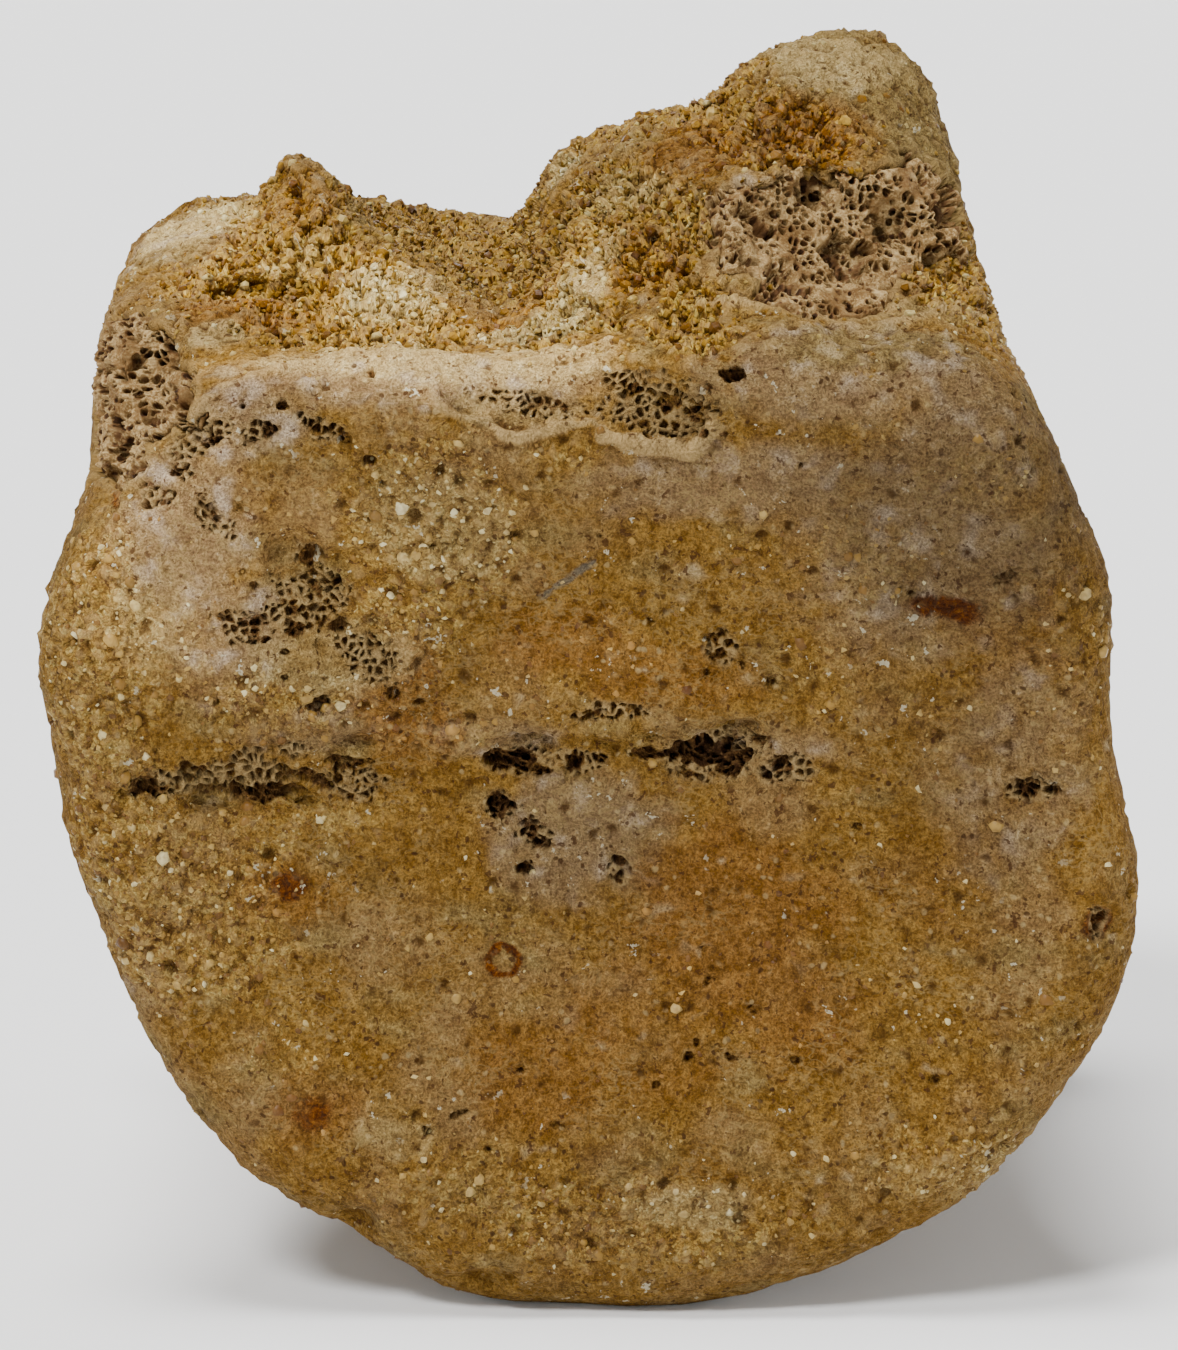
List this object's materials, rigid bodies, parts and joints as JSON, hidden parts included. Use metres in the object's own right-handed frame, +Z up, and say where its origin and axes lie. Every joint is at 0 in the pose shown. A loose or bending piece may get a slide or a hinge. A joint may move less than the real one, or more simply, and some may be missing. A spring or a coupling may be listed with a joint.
{
  "type": "fossil tail vertebra",
  "caption": "Fossil tail vertebra of a large theropod: spool-shaped centrum with a broken neural arch, cemented quartz sand and exposed spongy bone.",
  "frame": {"origin": "on the ground under the middle of the bone's plan, between its two flat spots", "axes": "+Z up through the broken neural arch, -Y out of the front joint face, +X to the right as seen from the front"},
  "size_m": [0.0729, 0.0632, 0.0826],
  "materials": {
    "fossil_bone": "matt ochre-brown permineralised bone with cemented quartz sand"
  },
  "bodies": {
    "root": {"vertebra": "fossil_bone"}
  },
  "joints": []
}
